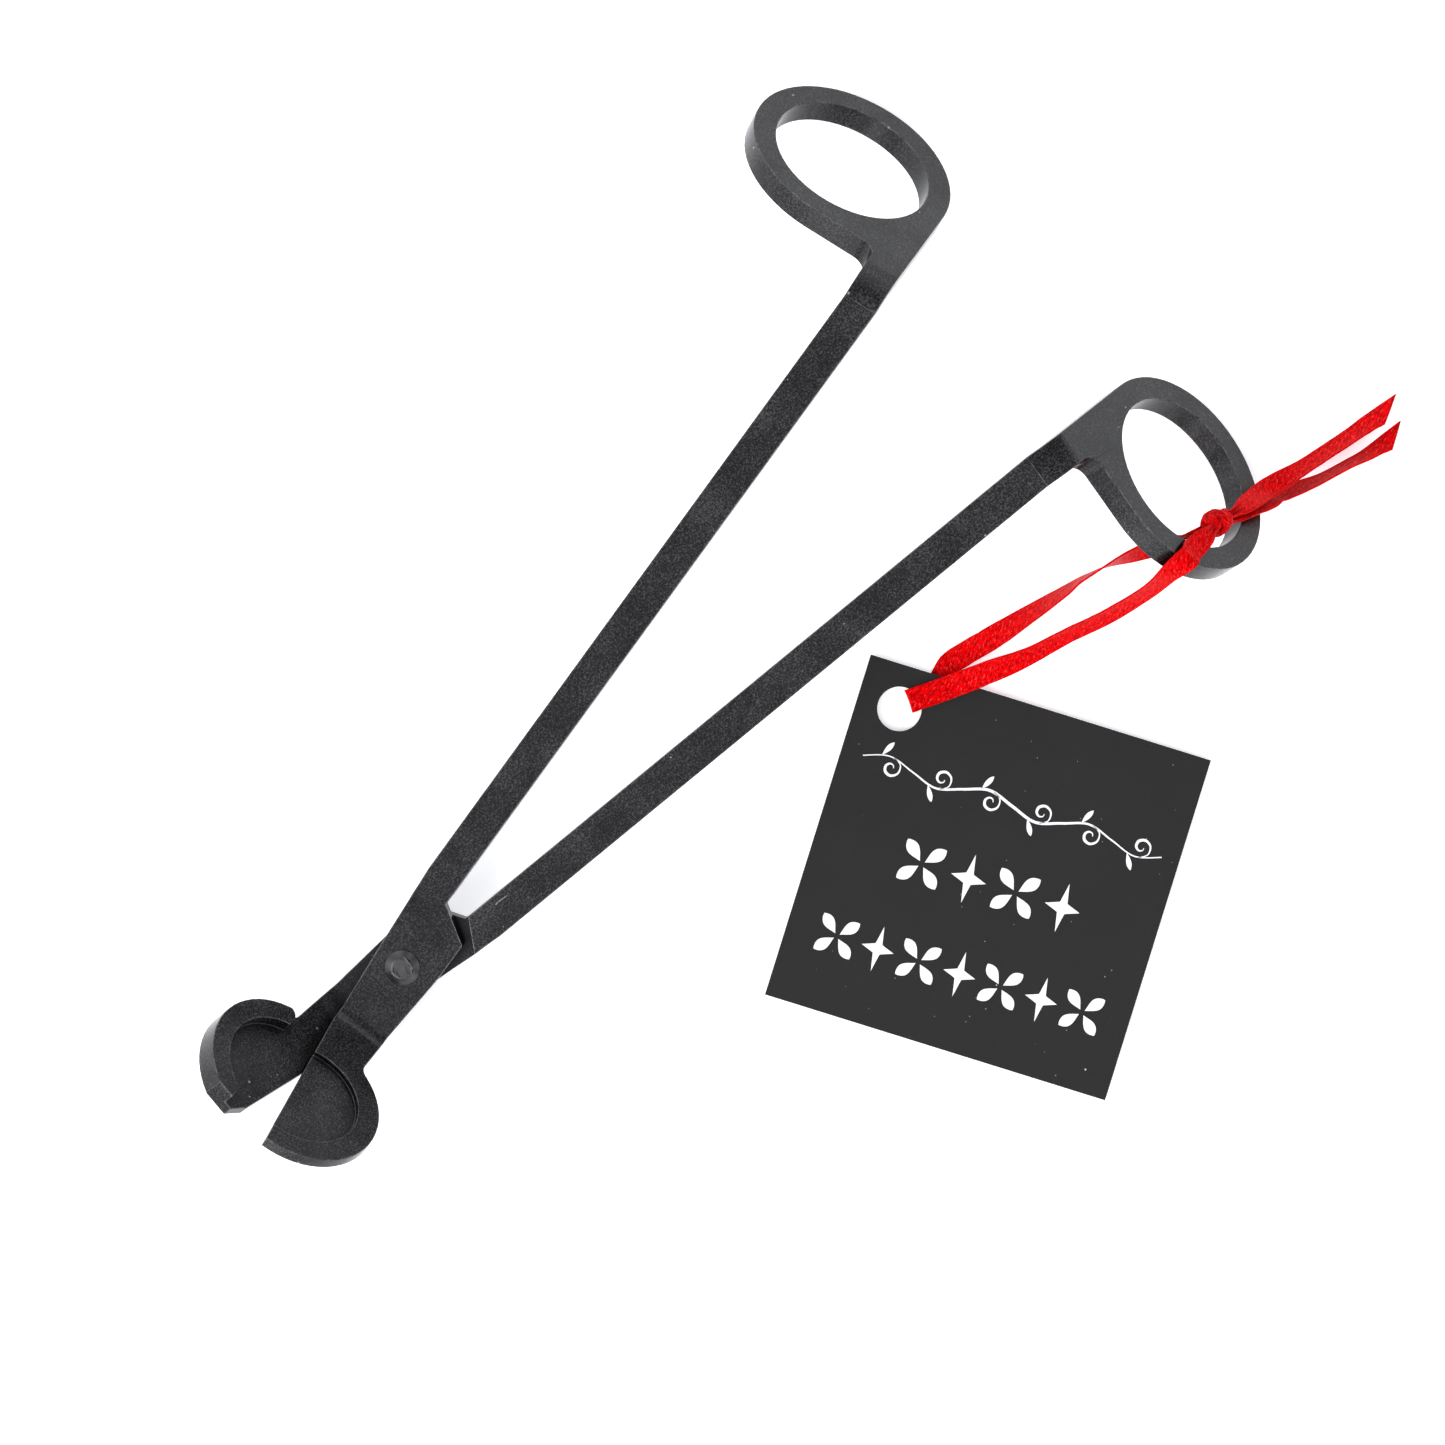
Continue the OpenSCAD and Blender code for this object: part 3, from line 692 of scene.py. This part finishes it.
def tag_matrix():
    """Carries a point of the print, in millimetres from the punched hole, into the frame."""
    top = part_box("hang_tag")[1].z
    place = Vector((TAG_HOLE.x, TAG_HOLE.y, top))
    return Matrix.Translation(place) @ turn(TAG_TURN, "Z") @ Matrix.Scale(MM, 4)


def flat_shape(bm, matrix, outline):
    """A thin printed shape from its outline."""
    low = [bm.verts.new(matrix @ Vector((x, y, -PRINT_SINK))) for x, y in outline]
    high = [bm.verts.new(matrix @ Vector((x, y, PRINT_RISE))) for x, y in outline]
    bm.faces.new(high)
    bm.faces.new(low[::-1])
    for k in range(len(outline)):
        after = (k + 1) % len(outline)
        bm.faces.new([low[k], low[after], high[after], high[k]])


def stroke(bm, matrix, points, thin, thick):
    """A pen stroke through points, thin at its ends and thick in the middle."""
    steps = 10
    line = [Vector(p) for p in smooth_route(points, steps)]
    last = len(line) - 1
    left = []
    right = []
    for i, p in enumerate(line):
        way = (line[min(i + 1, last)] - line[max(i - 1, 0)]).normalized()
        half = (thin + (thick - thin) * math.sin(math.pi * i / last) ** 2) / 2
        side = Vector((-way.y, way.x)) * half
        left.append(p + side)
        right.append(p - side)
    rows = []
    for a, b in zip(left, right):
        corners = ((a, -PRINT_SINK), (b, -PRINT_SINK), (b, PRINT_RISE), (a, PRINT_RISE))
        rows.append([bm.verts.new(matrix @ Vector((p.x, p.y, z))) for p, z in corners])
    for here, there in zip(rows, rows[1:]):
        for k in range(4):
            after = (k + 1) % 4
            bm.faces.new([here[k], here[after], there[after], there[k]])
    bm.faces.new(rows[0][::-1])
    bm.faces.new(rows[-1])


def petal(bm, matrix, x, y, length, width, heading):
    """A rounded petal from its foot at x, y. It is widest a little past its middle."""
    turned = turn(heading, "Z")
    steps = 14
    lean, fullness = 1.35, 0.8
    half = [(length * i / steps, width / 2 * math.sin(math.pi * (i / steps) ** lean) ** fullness)
            for i in range(1, steps)]
    outline = [(0, 0), *half, (length, 0), *[(px, -py) for px, py in reversed(half)]]
    spots = [turned @ Vector((px, py, 0)) for px, py in outline]
    flat_shape(bm, matrix, [(x + p.x, y + p.y) for p in spots])


def rosette(bm, matrix, x, y, size):
    """Four petals round a small gap."""
    gap = 0.07 * size
    for heading in (45, 135, 225, 315):
        foot_x = x + gap * math.cos(math.radians(heading))
        foot_y = y + gap * math.sin(math.radians(heading))
        petal(bm, matrix, foot_x, foot_y, 0.5 * size, 0.25 * size, heading)


def lozenge(bm, matrix, x, y, size):
    """A four-pointed star with hollow sides, narrower than it is high."""
    tip, flank, hollow = 0.5, 0.21, 0.15
    narrow = 0.72
    outline = []
    for k in range(16):
        a = 2 * math.pi * k / 16
        reach = size * (tip, flank, hollow, flank)[k % 4]
        outline.append((x + narrow * reach * math.cos(a), y + reach * math.sin(a)))
    flat_shape(bm, matrix, outline)


def motif_row(bm, matrix, count, first_x, pitch, y, size):
    """Rosettes and lozenges by turns."""
    for k in range(count):
        motif = lozenge if k % 2 else rosette
        motif(bm, matrix, first_x + k * pitch, y, size)


def vine_y(x):
    """The height of the vine's middle line at x."""
    return VINE_Y - VINE_FALL * (x - VINE_LEFT)


def flourish(bm, matrix):
    """A running vine across the tag's top: a wave with a curl and a petal in each bay."""
    step = (VINE_RIGHT - VINE_LEFT) / VINE_BAYS
    wave = []
    for k in range(2 * VINE_BAYS + 1):
        x = VINE_LEFT + k * step / 2
        wave.append((x, vine_y(x) + VINE_WAVE * (0, 1, 0, -1)[k % 4]))
    stroke(bm, matrix, wave, 0.16, 0.42)
    for k in range(VINE_BAYS):
        x = VINE_LEFT + (k + 0.5) * step
        y = vine_y(x)
        side = 1 if k % 2 else -1
        curl = []
        for i in range(9):
            a = math.radians(-90 * side + 55 * i * side)
            r = 1.55 - 0.15 * i
            curl.append((x + 0.6 + r * math.cos(a), y + side * 0.45 + r * math.sin(a)))
        stroke(bm, matrix, curl, 0.12, 0.40)
        petal(bm, matrix, x - 1.2, y - 0.9 * side, 2.6, 0.75, -62 * side)


def print_piece(name, draw, **layout):
    """One printed piece that rides on the tag, drawn by one of the functions above."""
    bm = bmesh.new()
    draw(bm, tag_matrix(), **layout)
    piece = add_object(name, bm, PRINT, smooth=False)
    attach(piece, "tag")


def make_print():
    """The vine and the two rows of motifs, in place of the real tag's print."""
    print_piece("tag_print_vine", flourish)
    print_piece("tag_print_upper_row", motif_row, count=4, first_x=9.6, pitch=7.0, y=-20.2, size=7.2)
    print_piece("tag_print_lower_row", motif_row, count=7, first_x=1.1, pitch=6.1, y=-33.6, size=6.6)


# ---- CAD nodes that stay ----
WELD = 0.025 * MM       # closes the small steps where flat plates run into bends
LEVER_EDGE = 0.13 * MM
RIVET_EDGE = 0.32 * MM
CARD_EDGE = 0.03 * MM
TRAY_SCRATCH = {"place": (-0.0357, -0.0036, 0.0090), "heading": -8, "length": 2.4 * MM, "width": 0.12 * MM}


def finish_node(name, material, bevel, angle=32):
    """Gives a CAD node its material, and rounds its edges that turn by more than angle."""
    obj = NODES[name]
    obj.data.materials.clear()
    obj.data.materials.append(material)
    weld = obj.modifiers.new("weld", "WELD")
    weld.merge_threshold = WELD
    edge = obj.modifiers.new("edges", "BEVEL")
    edge.width = bevel
    edge.segments = 3
    edge.limit_method = "ANGLE"
    edge.angle_limit = math.radians(angle)
    edge.use_clamp_overlap = False
    normals = obj.modifiers.new("normals", "WEIGHTED_NORMAL")
    normals.weight = 60
    normals.keep_sharp = True


# ---- Floor and light ----
FLOOR_RADIUS = 2.5
FLOOR_DROP = 0.02 * MM   # keeps the paper just under the flat undersides that lie on it


def make_floor():
    """A wide flat disc of paper."""
    bm = bmesh.new()
    rings = 6
    sides = 64
    rays = [Vector((math.cos(2 * math.pi * k / sides), math.sin(2 * math.pi * k / sides), 0))
            for k in range(sides)]
    drop = Vector((0, 0, -FLOOR_DROP))
    rows = []
    for i in range(1, rings + 1):
        r = FLOOR_RADIUS * (i / rings) ** 2
        rows.append([bm.verts.new(r * ray + drop) for ray in rays])
    bm.faces.new(rows[0])
    for low, high in zip(rows, rows[1:]):
        for k in range(sides):
            after = (k + 1) % sides
            bm.faces.new([low[k], low[after], high[after], high[k]])
    add_object("floor", bm, pale_floor(), smooth=False)


PANELS = 6              # light panels round the studio
PANEL_SWING = 1.3       # how much brighter a panel is than the mean
STUDIO_LEVEL = 2.0
END_SWING = -0.5        # minus: the heads' end, at -X, is the brighter one
STUDIO_TINT = (0.98, 0.99, 1.05)
SKY_LEVELS = [(0.0, 0.6), (0.3, 1.0), (0.8, 0.65), (0.95, 0.26)]   # sine of the elevation, level


def make_world():
    """A studio that is bright round the horizon, most of all at the heads' end, and dim straight above."""
    world = bpy.data.worlds.new("studio")
    world.use_nodes = True
    tree = world.node_tree

    def calc(operation, *values):
        node = tree.nodes.new("ShaderNodeMath")
        node.operation = operation
        for socket, value in zip(node.inputs, values):
            if isinstance(value, (int, float)):
                socket.default_value = value
            else:
                tree.links.new(value, socket)
        return node.outputs[0]

    place = tree.nodes.new("ShaderNodeTexCoord")
    split = tree.nodes.new("ShaderNodeSeparateXYZ")
    ramp = tree.nodes.new("ShaderNodeValToRGB")
    tree.links.new(place.outputs["Generated"], split.inputs["Vector"])
    tree.links.new(split.outputs["Z"], ramp.inputs["Fac"])
    set_stops(ramp, [(sine, [level * tint for tint in STUDIO_TINT]) for sine, level in SKY_LEVELS])
    heading = calc("ARCTAN2", split.outputs["Y"], split.outputs["X"])
    side = calc("MULTIPLY_ADD", calc("COSINE", heading), END_SWING, STUDIO_LEVEL)
    panels = calc("SINE", calc("MULTIPLY", heading, PANELS))
    strength = calc("MULTIPLY_ADD", panels, PANEL_SWING, side)
    background = tree.nodes["Background"]
    tree.links.new(strength, background.inputs["Strength"])
    tree.links.new(ramp.outputs["Color"], background.inputs["Color"])
    bpy.context.scene.world = world


def softbox(name, place, aim, size, power):
    """A square or oblong area light at place, turned to aim, with its power in watts."""
    data = bpy.data.lights.new(name, "AREA")
    data.shape = "RECTANGLE"
    data.size, data.size_y = size
    data.energy = power
    light = bpy.data.objects.new(name, data)
    light.location = place
    light.rotation_euler = (Vector(aim) - Vector(place)).to_track_quat("-Z", "Y").to_euler()
    bpy.context.scene.collection.objects.link(light)


# ---- The scene ----
make_camera()

SATIN = satin()
PRINT = white_print()

loop, loop_path = ribbon_strip("ribbon_loop_strip", LOOP_ROUTE, steps=6)
upper, upper_path = ribbon_strip("ribbon_tail_upper_strip", UPPER_TAIL_ROUTE, steps=8, cut=-2.0 * MM)
lower, lower_path = ribbon_strip("ribbon_tail_lower_strip", LOWER_TAIL_ROUTE, steps=8, cut=-1.8 * MM)
knot = make_knot()
for strip, node in ((loop, "ribbon_loop"), (upper, "ribbon_tail_upper"), (lower, "ribbon_tail_lower")):
    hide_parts(node)
    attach(strip, "tray_half")

blade_coat = powder_coat("coat_blade_lever")
tray_coat = powder_coat("coat_tray_lever", [TRAY_SCRATCH])
finish_node("blade_lever", blade_coat, LEVER_EDGE)
finish_node("tray_lever", tray_coat, LEVER_EDGE)
finish_node("pivot_rivet", rivet_steel(), RIVET_EDGE, angle=20)
finish_node("hang_tag", black_card(), CARD_EDGE)
make_print()

make_floor()
make_world()
softbox("key", place=(-1.0, 0.3, 0.85), aim=(0, 0, 0), size=(0.4, 0.4), power=9)
bpy.context.scene.view_settings.view_transform = "Standard"
